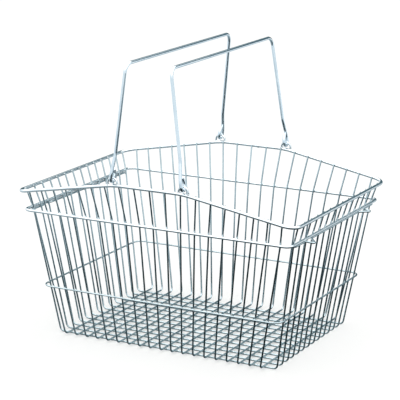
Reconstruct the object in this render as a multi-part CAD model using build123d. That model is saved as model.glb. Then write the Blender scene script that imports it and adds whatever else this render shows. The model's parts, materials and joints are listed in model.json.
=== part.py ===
from build123d import *
import math
import os

# A nestable welded-wire shopping basket with two swinging bail handles.
# Sizes are in millimetres. X runs along the basket, Y across it and Z up from the surface it stands on.

# Round wire, by diameter
BODY_WIRE = 2.4
RIM_WIRE = 4.8
BELT_WIRE = 4.0
WAIST_WIRE = 2.4
BAR_WIRE = 3.0
EYELET_WIRE = 3.0
HANDLE_WIRE = 4.8

# Welded wires lie against each other with this much left between the solids
WELD_GAP = 0.05

# Heights of the three rings, measured to the middle of the wire
WAIST_Z = 73.7
BELT_Z = 184.7
RIM_Z = 211.0
RIM_ARCH_RISE = 29.1

# The walls: half sizes at the floor, then the outward lean per millimetre of height.
# They kink at the belt ring.
END_WALL_AT_FLOOR = 172.0
END_LEAN_BELOW_BELT = 0.168
END_LEAN_ABOVE_BELT = 0.312
SIDE_WALL_AT_FLOOR = 125.2
SIDE_LEAN_BELOW_BELT = 0.100
SIDE_LEAN_ABOVE_BELT = 0.190

# Corner and bend radii, to the middle of the wire
RIM_CORNER = 18.5
BELT_CORNER = 10.0
WAIST_CORNER = 15.0
RIM_ARCH_BEND = 150.0
FLOOR_BEND = 6.0
KINK_BEND = 8.0

# Upright wires: how many, and their spacing at the floor, at the belt ring and at the rim.
# On the long sides the spacing at the rim drops a little from each wire to the next, away from the middle.
SIDE_WIRE_COUNT = 19
SIDE_PITCHES = (17.1, 21.2, 22.75)
SIDE_PITCH_DROP = 0.12
END_WIRE_COUNT = 14
END_PITCHES = (16.9, 19.8, 20.4)
WIRE_END_ABOVE_RIM_CENTRE = 1.2

# Stacking bars under the belt ring, one on each short end
BAR_HALF_LENGTH = 128.0
NIB_INNER_Y = 78.5
NIB_TIP_Y = 95.5
NIB_OUTER_Y = 97.5
NIB_REACH = 14.0
NIB_DROP = 1.5
NIB_BENDS = (4.0, 2.5, 3.0)

# Handle eyelets on the arched part of the rim
EYELET_X = 54.6
EYELET_HALF_WIDTH = 7.3
EYELET_HEIGHT = 10.2
EYELET_FOOT_DEPTH = 1.2
RIM_ARCH_HALF_LENGTH = 52.8

# Handles: sizes in the handle's own plane, measured from its pivot line
PIVOT_ABOVE_RIM = 5.3
HANDLE_HEIGHT = 162.1
HANDLE_HALF_SPAN = 150.8
HANDLE_CORNER = 13.0
EYE_HALF_WIDTH = 5.3
EYE_OUTER_SHOULDER = 12.0
EYE_INNER_SHOULDER = 9.0
EYE_TIP = 17.5
EYE_TIP_INSET = 0.9
NECK_HEIGHT = 38.0
NECK_INSET = 1.2
NECK_BEND = 25.0
SHOULDER_BENDS = (12.0, 16.0)
LEFT_HANDLE_LEAN = 6.5
RIGHT_HANDLE_LEAN = -8.0

ARCH_Z = RIM_Z + RIM_ARCH_RISE
END_WIRE_RUN_Z = BODY_WIRE / 2
SIDE_WIRE_RUN_Z = END_WIRE_RUN_Z + BODY_WIRE + WELD_GAP


def wall_at(z, at_floor, lean_below, lean_above):
    """Half size of a wall, to the middle of its upright wires, at height z."""
    below = min(z, BELT_Z)
    above = max(z - BELT_Z, 0.0)
    return at_floor + lean_below * below + lean_above * above


def end_wall(z):
    return wall_at(z, END_WALL_AT_FLOOR, END_LEAN_BELOW_BELT, END_LEAN_ABOVE_BELT)


def side_wall(z):
    return wall_at(z, SIDE_WALL_AT_FLOOR, SIDE_LEAN_BELOW_BELT, SIDE_LEAN_ABOVE_BELT)


def against_wall(wire, lean):
    """Distance from the middle of an upright wire to the middle of a wire lying on its outer face."""
    return (wire / 2 + BODY_WIRE / 2 + WELD_GAP) * math.sqrt(1 + lean * lean)


def bend(before, corner, after, radius):
    """The start, middle and end of the arc that rounds one corner of a path."""
    back = (before - corner).normalized()
    onward = (after - corner).normalized()
    half_turn = (math.pi - math.acos(max(-1.0, min(1.0, back.dot(onward))))) / 2
    reach = radius * math.tan(half_turn)
    sag = radius / math.cos(half_turn) - radius
    return corner + back * reach, corner + (back + onward).normalized() * sag, corner + onward * reach


def bent_path(corners, radii, closed=False):
    """Straight lines between the corners, with each corner rounded to its radius."""
    points = [Vector(*corner) for corner in corners]
    count = len(points)
    bent = range(count) if closed else range(1, count - 1)
    arcs = [bend(points[i - 1], points[i], points[(i + 1) % count], radii[i]) for i in bent]
    if closed:
        starts = [arc[2] for arc in arcs]
        ends = [arc[0] for arc in arcs[1:] + arcs[:1]]
    else:
        starts = [points[0]] + [arc[2] for arc in arcs]
        ends = [arc[0] for arc in arcs] + [points[-1]]
    edges = []
    for i, (start, end) in enumerate(zip(starts, ends)):
        if not closed and i > 0:
            edges.append(ThreePointArc(*arcs[i - 1]))
        if (end - start).length > 0.001:
            edges.append(Line(start, end))
        if closed:
            edges.append(ThreePointArc(*arcs[(i + 1) % count]))
    return Wire(edges)


def round_wire(path, diameter):
    """A solid round wire along a path."""
    section = Plane(origin=path @ 0, z_dir=path % 0) * Circle(diameter / 2)
    return sweep(section, path=path)


def save(node, shape):
    shape.label = node
    export_step(shape, f"parts/{node}.step")


def level_ring(z, wire, end_lean, side_lean, corner):
    """A closed ring that lies level round the outside of the upright wires."""
    half_length = end_wall(z) + against_wall(wire, end_lean)
    half_width = side_wall(z) + against_wall(wire, side_lean)
    corners = [
        (half_length, half_width, z),
        (-half_length, half_width, z),
        (-half_length, -half_width, z),
        (half_length, -half_width, z),
    ]
    return round_wire(bent_path(corners, [corner] * 4, closed=True), wire)


def rim_half_length():
    return end_wall(RIM_Z) + against_wall(RIM_WIRE, END_LEAN_ABOVE_BELT)


def rim_half_width(z):
    return side_wall(z) + against_wall(RIM_WIRE, SIDE_LEAN_ABOVE_BELT)


def rim_height(x):
    """Height of the middle of the rim wire above the long sides, corners and bends left out."""
    run = rim_half_length() - RIM_ARCH_HALF_LENGTH
    along = (rim_half_length() - abs(x)) / run
    return RIM_Z + RIM_ARCH_RISE * max(0.0, min(1.0, along))


def make_top_rim():
    """The rim: level at the short ends, rising along the long sides to a flat-topped arch."""
    half_length = rim_half_length()
    low = rim_half_width(RIM_Z)
    high = rim_half_width(ARCH_Z)
    corners = []
    radii = []
    for side in (1, -1):
        corners += [
            (side * half_length, side * low, RIM_Z),
            (side * RIM_ARCH_HALF_LENGTH, side * high, ARCH_Z),
            (-side * RIM_ARCH_HALF_LENGTH, side * high, ARCH_Z),
            (-side * half_length, side * low, RIM_Z),
        ]
        radii += [RIM_CORNER, RIM_ARCH_BEND, RIM_ARCH_BEND, RIM_CORNER]
    return round_wire(bent_path(corners, radii, closed=True), RIM_WIRE)


def fanned(index, pitches, drop, z):
    """Place of one upright wire along its wall.

    The wires spread apart as they rise, with a kink at the belt ring.
    """
    at_floor, at_belt, at_rim = pitches
    below = min(z, BELT_Z) / BELT_Z
    above = max(z - BELT_Z, 0.0) / (RIM_Z - BELT_Z)
    spread_above = at_rim - drop * abs(index) - at_belt
    pitch = at_floor + (at_belt - at_floor) * below + spread_above * above
    return index * pitch


def make_side_wire(index):
    """A U-shaped wire down the front wall, across the bottom and up the back wall."""
    rim_x = fanned(index, SIDE_PITCHES, SIDE_PITCH_DROP, RIM_Z)
    top = rim_height(rim_x) + WIRE_END_ABOVE_RIM_CENTRE
    levels = (top, BELT_Z, SIDE_WIRE_RUN_Z)
    front = [(fanned(index, SIDE_PITCHES, SIDE_PITCH_DROP, z), -side_wall(z), z) for z in levels]
    back = [(x, -y, z) for x, y, z in reversed(front)]
    radii = [0, KINK_BEND, FLOOR_BEND, FLOOR_BEND, KINK_BEND, 0]
    return round_wire(bent_path(front + back, radii), BODY_WIRE)


def make_end_wire(index):
    """A U-shaped wire down one short end, along the bottom and up the other end."""
    levels = (RIM_Z + WIRE_END_ABOVE_RIM_CENTRE, BELT_Z, END_WIRE_RUN_Z)
    left = [(-end_wall(z), fanned(index, END_PITCHES, 0.0, z), z) for z in levels]
    right = [(-x, y, z) for x, y, z in reversed(left)]
    radii = [0, KINK_BEND, FLOOR_BEND, FLOOR_BEND, KINK_BEND, 0]
    return round_wire(bent_path(left + right, radii), BODY_WIRE)


def make_stacking_bar(side):
    """A bar under the belt ring with two bent nibs that stand outward and a little down.

    side is -1 for the left end, 1 for the right end.
    """
    z = BELT_Z - BELT_WIRE / 2 - BAR_WIRE / 2 - WELD_GAP
    inner_x = side * (end_wall(z) + against_wall(BAR_WIRE, END_LEAN_BELOW_BELT))
    tip_x = inner_x + side * NIB_REACH
    half = [
        (inner_x, NIB_INNER_Y, z),
        (tip_x, NIB_TIP_Y, z - NIB_DROP),
        (inner_x, NIB_OUTER_Y, z),
        (inner_x, BAR_HALF_LENGTH, z),
    ]
    other_half = [(x, -y, height) for x, y, height in reversed(half)]
    radii = [0, *reversed(NIB_BENDS), *NIB_BENDS, 0]
    return round_wire(bent_path(other_half + half, radii), BAR_WIRE)


def make_eyelet(x, side):
    """A small wire arch standing on the rim. side is -1 for the front, 1 for the back."""
    y = side * rim_half_width(ARCH_Z)
    feet = (x - EYELET_HALF_WIDTH, x + EYELET_HALF_WIDTH)
    foot_z = [rim_height(foot) + RIM_WIRE / 2 - EYELET_FOOT_DEPTH for foot in feet]
    top_z = ARCH_Z + EYELET_HEIGHT
    corners = [(feet[0], y, foot_z[0]), (feet[0], y, top_z), (feet[1], y, top_z), (feet[1], y, foot_z[1])]
    bend_radius = EYELET_HALF_WIDTH - 0.05
    return round_wire(bent_path(corners, [0, bend_radius, bend_radius, 0]), EYELET_WIRE)


def make_handle(x, lean):
    """A bail whose legs end in closed eyes, turned inward. It leans by so many degrees towards +X."""
    eye_y = rim_half_width(ARCH_Z)
    half = [
        (eye_y - EYE_TIP_INSET, EYE_TIP),
        (eye_y - EYE_HALF_WIDTH, EYE_INNER_SHOULDER),
        (eye_y - EYE_HALF_WIDTH, 0.0),
        (eye_y + EYE_HALF_WIDTH, 0.0),
        (eye_y + EYE_HALF_WIDTH, EYE_OUTER_SHOULDER),
        (eye_y - NECK_INSET, NECK_HEIGHT),
        (HANDLE_HALF_SPAN, HANDLE_HEIGHT),
    ]
    outline = [(-y, height) for y, height in half] + half[::-1]
    turn = EYE_HALF_WIDTH - 0.05
    inner_bend, outer_bend = SHOULDER_BENDS
    end_radii = [0, inner_bend, turn, turn, outer_bend, NECK_BEND, HANDLE_CORNER]
    radii = end_radii + end_radii[::-1]
    upright = math.radians(lean)
    corners = [(height * math.sin(upright), y, height * math.cos(upright)) for y, height in outline]
    handle = round_wire(bent_path(corners, radii), HANDLE_WIRE)
    return Pos(x, 0, ARCH_Z + PIVOT_ABOVE_RIM) * handle


def main():
    os.makedirs("parts", exist_ok=True)
    save("top_rim", make_top_rim())
    belt_leans = (END_LEAN_ABOVE_BELT, SIDE_LEAN_ABOVE_BELT)
    waist_leans = (END_LEAN_BELOW_BELT, SIDE_LEAN_BELOW_BELT)
    save("belt_ring", level_ring(BELT_Z, BELT_WIRE, *belt_leans, BELT_CORNER))
    save("waist_ring", level_ring(WAIST_Z, WAIST_WIRE, *waist_leans, WAIST_CORNER))
    for number in range(SIDE_WIRE_COUNT):
        save(f"side_wire_{number + 1:02d}", make_side_wire(number - (SIDE_WIRE_COUNT - 1) / 2))
    for number in range(END_WIRE_COUNT):
        save(f"end_wire_{number + 1:02d}", make_end_wire(number - (END_WIRE_COUNT - 1) / 2))
    save("left_stacking_bar", make_stacking_bar(-1))
    save("right_stacking_bar", make_stacking_bar(1))
    for across, side in (("front", -1), ("back", 1)):
        save(f"{across}_left_eyelet", make_eyelet(-EYELET_X, side))
        save(f"{across}_right_eyelet", make_eyelet(EYELET_X, side))
    save("left_handle", make_handle(-EYELET_X, LEFT_HANDLE_LEAN))
    save("right_handle", make_handle(EYELET_X, RIGHT_HANDLE_LEAN))


main()
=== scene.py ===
import json
import math
import random

import bmesh
import bpy
import numpy as np
from mathutils import Matrix, Vector, noise


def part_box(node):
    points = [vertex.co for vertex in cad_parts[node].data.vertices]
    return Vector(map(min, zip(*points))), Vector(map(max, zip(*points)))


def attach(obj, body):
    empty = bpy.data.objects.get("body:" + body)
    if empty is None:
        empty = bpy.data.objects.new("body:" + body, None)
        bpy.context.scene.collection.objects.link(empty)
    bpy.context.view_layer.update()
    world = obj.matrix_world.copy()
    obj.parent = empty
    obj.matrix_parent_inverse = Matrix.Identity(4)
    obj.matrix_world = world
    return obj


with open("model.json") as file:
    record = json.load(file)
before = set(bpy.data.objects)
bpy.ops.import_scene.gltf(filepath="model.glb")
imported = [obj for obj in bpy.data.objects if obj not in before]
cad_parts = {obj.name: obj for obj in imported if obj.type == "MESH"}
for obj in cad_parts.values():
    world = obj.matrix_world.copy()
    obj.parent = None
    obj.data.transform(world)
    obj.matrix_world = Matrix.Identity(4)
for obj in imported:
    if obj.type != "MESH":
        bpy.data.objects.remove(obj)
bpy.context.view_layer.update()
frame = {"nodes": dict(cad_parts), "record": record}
NODES = frame["nodes"]
MM = 0.001

# Camera
CAMERA_PLACE = (1.1395, -2.1405, 0.8063)
CAMERA_YAW = 118.13
CAMERA_PITCH = 14.24
CAMERA_ROLL = 0.12
CAMERA_LENS = 158.4

# Wires of the basket
SIDE_WIRES = sorted(name for name in NODES if name.startswith("side_wire"))
END_WIRES = sorted(name for name in NODES if name.startswith("end_wire"))
BARS = ("left_stacking_bar", "right_stacking_bar")
EYELETS = sorted(name for name in NODES if name.endswith("eyelet"))
BODY_WIRE = 2.4 * MM
RIM_WIRE = 4.8 * MM
BELT_WIRE = 4.0 * MM
EYELET_WIRE = 3.0 * MM

# Weld beads: half sizes along the wire, across it and out of it
GRID_BEAD = (1.55 * MM, 1.55 * MM, 1.05 * MM)
RING_BEAD = (1.9 * MM, 1.5 * MM, 0.95 * MM)
RIM_BEAD = (1.7 * MM, 1.7 * MM, 1.2 * MM)
BAR_BEAD = (1.5 * MM, 1.4 * MM, 0.9 * MM)
EYELET_BEAD = (2.9 * MM, 2.3 * MM, 1.5 * MM)
RIM_BEAD_BELOW_END = 1.6 * MM
EYELET_BEAD_BELOW_RIM_TOP = 0.5 * MM

# Butt welds of the rings: the ring, its wire and where along the back it is closed
RING_JOINTS = (
    ("top_rim", RIM_WIRE, 9 * MM),
    ("belt_ring", BELT_WIRE, -33 * MM),
    ("waist_ring", BODY_WIRE, 27 * MM),
)

# Floor as it is seen
FLOOR_HALF = 9.0
FLOOR_COLOUR = (0.78, 0.78, 0.77)
FLOOR_FILL = 0.19

# Floor as the wires mirror it, a painted reflection: the floor is pale, but glossy rays see it dark in
# front of the near corner, paler with distance, even under the basket
DARK_SPOT = (0.44, -0.36, 0.0)
DARK_SPOT_REACH = 4.0
MIRRORED_AROUND = [
    (0.100, (0.008, 0.018, 0.022)),
    (0.150, (0.080, 0.110, 0.125)),
    (0.215, (0.380, 0.470, 0.510)),
    (0.400, (0.860, 0.950, 1.000)),
]
MIRRORED_UNDER = (0.13, 0.19, 0.20)
FOOTPRINT = {"X": 0.165, "Y": 0.115}
FOOTPRINT_EDGE = 0.012

# Studio as the wires mirror it, by height above the horizon: in front of the basket and behind it
SEEN_STRENGTH = 1.08
MIRRORED_FRONT = [
    (0.00, (0.82, 0.92, 0.97)),
    (0.16, (0.98, 1.05, 1.09)),
    (0.36, (1.25, 1.29, 1.31)),
    (0.62, (2.10, 2.10, 2.10)),
]
MIRRORED_BEHIND = [
    (0.00, (0.02, 0.06, 0.08)),
    (0.35, (0.05, 0.12, 0.15)),
    (0.55, (0.14, 0.24, 0.28)),
    (0.80, (2.00, 2.00, 2.00)),
]
BEHIND_FROM = 0.45
BEHIND_TO = 0.80

EDGE_ENDS = {}
dice = random.Random(11)


# ---------------------------------------------------------------- materials

def new_material(name):
    material = bpy.data.materials.new(name)
    material.use_nodes = True
    nodes = material.node_tree.nodes
    return material, nodes, material.node_tree.links, nodes["Principled BSDF"]


def noise_node(nodes, links, place, scale, detail, roughness=0.55):
    texture = nodes.new("ShaderNodeTexNoise")
    texture.inputs["Scale"].default_value = scale
    texture.inputs["Detail"].default_value = detail
    texture.inputs["Roughness"].default_value = roughness
    links.new(place, texture.inputs["Vector"])
    return texture.outputs["Fac"]


def ramp_node(nodes, links, value, stops):
    """A value turned into a colour by stops of position and colour."""
    ramp = nodes.new("ShaderNodeValToRGB")
    elements = ramp.color_ramp.elements
    while len(elements) < len(stops):
        elements.new(0.5)
    for element, (position, colour) in zip(elements, stops):
        element.position = position
        element.color = (*colour, 1.0)
    links.new(value, ramp.inputs["Fac"])
    return ramp.outputs["Color"]


def range_node(nodes, links, value, low, high):
    """A noise value spread over the range from low to high."""
    spread = nodes.new("ShaderNodeMapRange")
    spread.inputs["From Min"].default_value = 0.3
    spread.inputs["From Max"].default_value = 0.7
    spread.inputs["To Min"].default_value = low
    spread.inputs["To Max"].default_value = high
    links.new(value, spread.inputs["Value"])
    return spread.outputs["Result"]


def rise_node(nodes, links, value, low, high):
    """0 up to the low value, rising to 1 at the high value."""
    rise = nodes.new("ShaderNodeMapRange")
    rise.inputs["From Min"].default_value = low
    rise.inputs["From Max"].default_value = high
    links.new(value, rise.inputs["Value"])
    return rise.outputs["Result"]


def background_node(nodes, links, colour):
    background = nodes.new("ShaderNodeBackground")
    links.new(colour, background.inputs["Color"])
    return background.outputs["Background"]


def mix_node(nodes, links, share, first, second):
    mix = nodes.new("ShaderNodeMixShader")
    links.new(share, mix.inputs["Fac"])
    links.new(first, mix.inputs[1])
    links.new(second, mix.inputs[2])
    return mix.outputs["Shader"]


def plated_metal(name, bright, dull, smoothest, roughest, bump):
    """Bright plating over drawn wire: cloudy colour, patchy gloss and a faintly uneven skin."""
    material, nodes, links, shader = new_material(name)
    place = nodes.new("ShaderNodeTexCoord").outputs["Object"]
    clouds = noise_node(nodes, links, place, 38.0, 4.0)
    patches = noise_node(nodes, links, place, 210.0, 3.0)
    grain = noise_node(nodes, links, place, 1900.0, 2.0)
    colour = ramp_node(nodes, links, clouds, [(0.36, dull), (0.62, bright)])
    links.new(colour, shader.inputs["Base Color"])
    links.new(range_node(nodes, links, patches, smoothest, roughest), shader.inputs["Roughness"])
    shader.inputs["Metallic"].default_value = 1.0
    skin = nodes.new("ShaderNodeBump")
    skin.inputs["Strength"].default_value = bump
    skin.inputs["Distance"].default_value = 0.05 * MM
    links.new(grain, skin.inputs["Height"])
    links.new(skin.outputs["Normal"], shader.inputs["Normal"])
    return material


def make_materials():
    rim = plated_metal("rim_plating", (0.84, 0.88, 0.90), (0.72, 0.77, 0.80), 0.10, 0.20, 0.25)
    # The body wires' plating is darker than the rim's and the handles': painted shade, standing in for the
    # dark look the uprights get from their reflections
    body = plated_metal("body_plating", (0.56, 0.65, 0.68), (0.42, 0.50, 0.53), 0.10, 0.20, 0.30)
    handle = plated_metal("handle_plating", (0.80, 0.86, 0.90), (0.68, 0.76, 0.82), 0.08, 0.18, 0.25)
    weld = plated_metal("weld_plating", (0.66, 0.69, 0.70), (0.46, 0.49, 0.50), 0.26, 0.46, 0.60)
    return {"rim_wire": rim, "body_wire": body, "handle_wire": handle, "weld": weld}


# ---------------------------------------------------------------- places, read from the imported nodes

def edge_ends(node):
    """The two ends of every edge of a node's mesh, kept after the first call."""
    if node not in EDGE_ENDS:
        mesh = NODES[node].data
        places = np.empty(len(mesh.vertices) * 3)
        mesh.vertices.foreach_get("co", places)
        pairs = np.empty(len(mesh.edges) * 2, dtype=int)
        mesh.edges.foreach_get("vertices", pairs)
        places = places.reshape(-1, 3)
        pairs = pairs.reshape(-1, 2)
        EDGE_ENDS[node] = (places[pairs[:, 0]], places[pairs[:, 1]])
    return EDGE_ENDS[node]


def section(node, axis, level, side_axis=None, side=1):
    """Points where a plane across one axis cuts a node, on one side of the basket if a side is given."""
    first, second = edge_ends(node)
    before = first[:, axis] - level
    after = second[:, axis] - level
    crossing = before * after < 0
    share = before[crossing] / (before[crossing] - after[crossing])
    points = first[crossing] + share[:, None] * (second[crossing] - first[crossing])
    if side_axis is not None:
        points = points[points[:, side_axis] * side > 0]
    return points


def middle(points):
    """The middle of the box round some points."""
    return Vector((points.min(0) + points.max(0)) / 2)


def centre_height(node):
    low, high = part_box(node)
    return (low.z + high.z) / 2


# ---------------------------------------------------------------- weld detail

def make_blob():
    """Vertices and faces of a unit ball, to be shaped into weld beads."""
    ball = bmesh.new()
    bmesh.ops.create_icosphere(ball, subdivisions=2, radius=1.0)
    points = [vertex.co.copy() for vertex in ball.verts]
    faces = [[vertex.index for vertex in face.verts] for face in ball.faces]
    ball.free()
    return points, faces


def add_bead(batch, place, along, normal, size):
    """One lump of weld: flattened along the normal, with a size and a skin of its own."""
    along = Vector(along).normalized()
    normal = Vector(normal).normalized()
    across = normal.cross(along).normalized()
    stretch = [half * dice.uniform(0.86, 1.16) for half in size]
    seed = Vector([dice.uniform(-50, 50) for _ in range(3)])
    first = len(batch["points"])
    blob_points, blob_faces = BLOB
    for point in blob_points:
        local = point * (1.0 + 0.16 * noise.noise(point * 1.7 + seed))
        offset = along * local.x * stretch[0] + across * local.y * stretch[1]
        offset += normal * local.z * stretch[2]
        batch["points"].append(Vector(place) + offset)
    batch["faces"] += [[first + index for index in face] for face in blob_faces]


def add_collar(batch, place, along, radius, rise, half_length):
    """The upset left where the two ends of a ring's wire are butt welded."""
    along = Vector(along).normalized()
    side = along.orthogonal().normalized()
    up = along.cross(side)
    rings, spokes = 9, 24
    first = len(batch["points"])
    seed = Vector([dice.uniform(-50, 50) for _ in range(3)])
    for ring in range(rings):
        share = 2 * ring / (rings - 1) - 1
        for spoke in range(spokes):
            turn = 2 * math.pi * spoke / spokes
            out = side * math.cos(turn) + up * math.sin(turn)
            uneven = 1.0 + 0.5 * noise.noise(out * 1.5 + seed)
            swell = radius * 0.97 + (rise + 0.03 * radius) * math.cos(share * math.pi / 2) ** 0.7 * uneven
            batch["points"].append(Vector(place) + along * share * half_length + out * swell)
    for ring in range(rings - 1):
        for spoke in range(spokes):
            onward = (spoke + 1) % spokes
            corners = (ring * spokes + spoke, ring * spokes + onward)
            above = (corners[1] + spokes, corners[0] + spokes)
            batch["faces"].append([first + index for index in (*corners, *above)])
    for ring, order in ((0, -1), (rings - 1, 1)):
        loop = [first + ring * spokes + spoke for spoke in range(spokes)]
        batch["faces"].append(loop[::order])


def finish_batch(batch, name, body, material):
    """Make one piece of the gathered points and faces."""
    mesh = bpy.data.meshes.new(name)
    mesh.from_pydata(batch["points"], [], batch["faces"])
    mesh.polygons.foreach_set("use_smooth", [True] * len(mesh.polygons))
    mesh.materials.append(material)
    mesh.update()
    piece = bpy.data.objects.new(name, mesh)
    bpy.context.scene.collection.objects.link(piece)
    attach(piece, body)
    return piece


def new_batch():
    return {"points": [], "faces": []}


def make_floor_welds(material):
    """A bead at each crossing of the bottom grid."""
    batch = new_batch()
    upper = [middle(section(name, 1, 0.0)) for name in SIDE_WIRES]
    lower = [middle(section(name, 0, 0.0)) for name in END_WIRES]
    for top in upper:
        for under in lower:
            place = (top.x, under.y, (top.z + under.z) / 2)
            add_bead(batch, place, (1, 0, 0), (0, 0, 1), GRID_BEAD)
    return finish_batch(batch, "bottom_grid_welds", "basket", material)


def uprights_at(height_of):
    """The outer face of every upright at a height, and the way out of the basket there."""
    for names, axis in ((SIDE_WIRES, 1), (END_WIRES, 0)):
        for name in names:
            for side in (-1, 1):
                place = middle(section(name, 2, height_of(name), axis, side))
                outward = Vector((0, side, 0)) if axis else Vector((side, 0, 0))
                yield place + outward * BODY_WIRE / 2, outward


def make_ring_welds(ring, material):
    """Beads where the uprights touch a ring that lies round them."""
    batch = new_batch()
    level = centre_height(ring)
    for place, outward in uprights_at(lambda name: level):
        add_bead(batch, place, (0, 0, 1), outward, RING_BEAD)
    return finish_batch(batch, ring + "_welds", "basket", material)


def make_rim_welds(material):
    """Beads between the rim and the cropped ends of the uprights."""
    batch = new_batch()
    for place, outward in uprights_at(lambda name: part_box(name)[1].z - RIM_BEAD_BELOW_END):
        add_bead(batch, place, (0, 0, 1), outward, RIM_BEAD)
    return finish_batch(batch, "top_rim_welds", "basket", material)


def make_bar_welds(bar, material):
    """Beads where a stacking bar crosses the uprights of its end."""
    batch = new_batch()
    level = centre_height(bar)
    side = -1 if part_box(bar)[0].x < 0 else 1
    outward = Vector((side, 0, 0))
    for name in END_WIRES:
        place = middle(section(name, 2, level, 0, side))
        add_bead(batch, place + outward * BODY_WIRE / 2, (0, 0, 1), outward, BAR_BEAD)
    return finish_batch(batch, bar + "_welds", "basket", material)


def make_eyelet_welds(material):
    """A fillet of weld round each foot of each eyelet, where it stands on the rim."""
    batch = new_batch()
    for name in EYELETS:
        low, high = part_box(name)
        side = 1 if low.y > 0 else -1
        for foot in (low.x + EYELET_WIRE / 2, high.x - EYELET_WIRE / 2):
            rim = section("top_rim", 0, foot, 1, side)
            height = rim[:, 2].max() - EYELET_BEAD_BELOW_RIM_TOP
            add_bead(batch, (foot, (low.y + high.y) / 2, height), (1, 0, 0), (0, 0, 1), EYELET_BEAD)
    return finish_batch(batch, "eyelet_welds", "basket", material)


def make_ring_joints(material):
    """The butt weld that closes each ring, on the back."""
    batch = new_batch()
    for ring, wire, x in RING_JOINTS:
        place = middle(section(ring, 0, x, 1, 1))
        add_collar(batch, place, (1, 0, 0), wire / 2, 0.11 * wire, 0.45 * wire)
    return finish_batch(batch, "ring_butt_welds", "basket", material)


# ---------------------------------------------------------------- stage

def outside_footprint(nodes, links, place):
    """0 on the floor under the basket, rising to 1 just outside it: the mask between the two parts of the
    painted reflection.
    """
    split = nodes.new("ShaderNodeSeparateXYZ")
    links.new(place, split.inputs["Vector"])
    farther = nodes.new("ShaderNodeMath")
    farther.operation = "MAXIMUM"
    for slot, (axis, half) in enumerate(FOOTPRINT.items()):
        distance = nodes.new("ShaderNodeMath")
        distance.operation = "ABSOLUTE"
        links.new(split.outputs[axis], distance.inputs[0])
        past = rise_node(nodes, links, distance.outputs["Value"], half, half + FOOTPRINT_EDGE)
        links.new(past, farther.inputs[slot])
    return farther.outputs["Value"]


def painted_floor_reflection(nodes, links):
    """Painted reflection: the darker floor that the wires see in place of the pale one."""
    place = nodes.new("ShaderNodeTexCoord").outputs["Object"]
    distance = nodes.new("ShaderNodeVectorMath")
    distance.operation = "DISTANCE"
    distance.inputs[1].default_value = DARK_SPOT
    links.new(place, distance.inputs[0])
    away = rise_node(nodes, links, distance.outputs["Value"], 0.0, DARK_SPOT_REACH)
    around = nodes.new("ShaderNodeEmission")
    links.new(ramp_node(nodes, links, away, MIRRORED_AROUND), around.inputs["Color"])
    under = nodes.new("ShaderNodeEmission")
    under.inputs["Color"].default_value = (*MIRRORED_UNDER, 1)
    outside = outside_footprint(nodes, links, place)
    return mix_node(nodes, links, outside, under.outputs["Emission"], around.outputs["Emission"])


def make_floor():
    """A pale floor, with a painted reflection: the wires mirror it darker than it is."""
    corners = [(x * FLOOR_HALF, y * FLOOR_HALF, 0) for x, y in ((-1, -1), (1, -1), (1, 1), (-1, 1))]
    mesh = bpy.data.meshes.new("floor")
    mesh.from_pydata(corners, [], [(0, 1, 2, 3)])
    floor = bpy.data.objects.new("floor", mesh)
    bpy.context.scene.collection.objects.link(floor)
    material, nodes, links, shader = new_material("pale_floor")
    shader.inputs["Base Color"].default_value = (*FLOOR_COLOUR, 1)
    shader.inputs["Emission Color"].default_value = (1, 1, 1, 1)
    shader.inputs["Emission Strength"].default_value = FLOOR_FILL
    shader.inputs["Roughness"].default_value = 0.9
    shader.inputs["Specular IOR Level"].default_value = 0.0
    # Painted reflection: glossy rays see the darker floor, every other ray sees the pale one
    glossy = nodes.new("ShaderNodeLightPath").outputs["Is Glossy Ray"]
    shown = mix_node(nodes, links, glossy, shader.outputs["BSDF"], painted_floor_reflection(nodes, links))
    links.new(shown, nodes["Material Output"].inputs["Surface"])
    mesh.materials.append(material)


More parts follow.
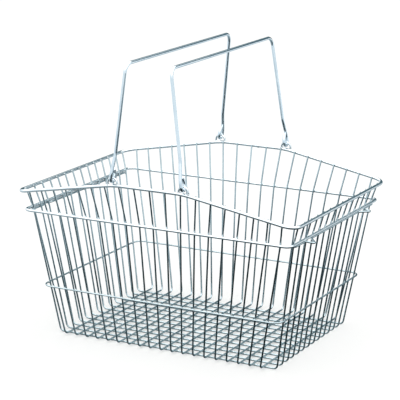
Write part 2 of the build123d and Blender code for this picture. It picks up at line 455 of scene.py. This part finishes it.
def make_world():
    """White to the eye. In reflections it is white overhead and in front, and dark low down behind."""
    world = bpy.data.worlds.new("studio")
    bpy.context.scene.world = world
    world.use_nodes = True
    nodes = world.node_tree.nodes
    links = world.node_tree.links
    direction = nodes.new("ShaderNodeTexCoord").outputs["Generated"]
    split = nodes.new("ShaderNodeSeparateXYZ")
    links.new(direction, split.inputs["Vector"])
    front = background_node(nodes, links, ramp_node(nodes, links, split.outputs["Z"], MIRRORED_FRONT))
    behind = background_node(nodes, links, ramp_node(nodes, links, split.outputs["Z"], MIRRORED_BEHIND))
    rearward = rise_node(nodes, links, split.outputs["Y"], BEHIND_FROM, BEHIND_TO)
    mirrored = mix_node(nodes, links, rearward, front, behind)
    seen = nodes.new("ShaderNodeBackground")
    seen.inputs["Color"].default_value = (1, 1, 1, 1)
    seen.inputs["Strength"].default_value = SEEN_STRENGTH
    glossy = nodes.new("ShaderNodeLightPath").outputs["Is Glossy Ray"]
    shown = mix_node(nodes, links, glossy, seen.outputs["Background"], mirrored)
    links.new(shown, nodes["World Output"].inputs["Surface"])


def make_light(name, place, target, size, power):
    """A soft rectangular lamp that the camera doesn't see."""
    data = bpy.data.lights.new(name, "AREA")
    data.shape = "RECTANGLE"
    data.size, data.size_y = size
    data.energy = power
    light = bpy.data.objects.new(name, data)
    bpy.context.scene.collection.objects.link(light)
    light.location = place
    light.visible_camera = False
    light.rotation_euler = (Vector(target) - Vector(place)).to_track_quat("-Z", "Y").to_euler()


def make_camera():
    """The camera, at the photograph's viewing angle."""
    data = bpy.data.cameras.new("camera")
    data.sensor_width = 36
    data.lens = CAMERA_LENS
    data.clip_end = 100
    camera = bpy.data.objects.new("camera", data)
    bpy.context.scene.collection.objects.link(camera)
    turn = Matrix.Rotation(math.radians(CAMERA_YAW - 90), 4, "Z")
    tilt = Matrix.Rotation(math.radians(90 - CAMERA_PITCH), 4, "X")
    roll = Matrix.Rotation(math.radians(CAMERA_ROLL), 4, "Z")
    camera.matrix_world = Matrix.Translation(CAMERA_PLACE) @ turn @ tilt @ roll
    bpy.context.scene.camera = camera


def dress_nodes(materials):
    """Give every wire its plating in place of its flat colour."""
    for part in frame["record"]["subparts"]:
        node = NODES[part["node"]]
        node.data.materials.clear()
        node.data.materials.append(materials[part["material_slot"]])


make_camera()
make_floor()
make_world()
make_light("key_light", (-0.6, -1.2, 2.4), (0, 0, 0.1), (1.6, 1.0), 3)
make_light("back_light", (0.4, 1.8, 1.8), (0, 0, 0.15), (1.8, 0.8), 2)
make_light("side_card", (0.80, 0.95, 0.45), (0.1, 0, 0.2), (0.35, 0.55), 0.5)
materials = make_materials()
dress_nodes(materials)
BLOB = make_blob()
make_floor_welds(materials["weld"])
make_ring_welds("belt_ring", materials["weld"])
make_ring_welds("waist_ring", materials["weld"])
make_rim_welds(materials["weld"])
for bar in BARS:
    make_bar_welds(bar, materials["weld"])
make_eyelet_welds(materials["weld"])
make_ring_joints(materials["rim_wire"])
bpy.context.scene.view_settings.view_transform = "Standard"
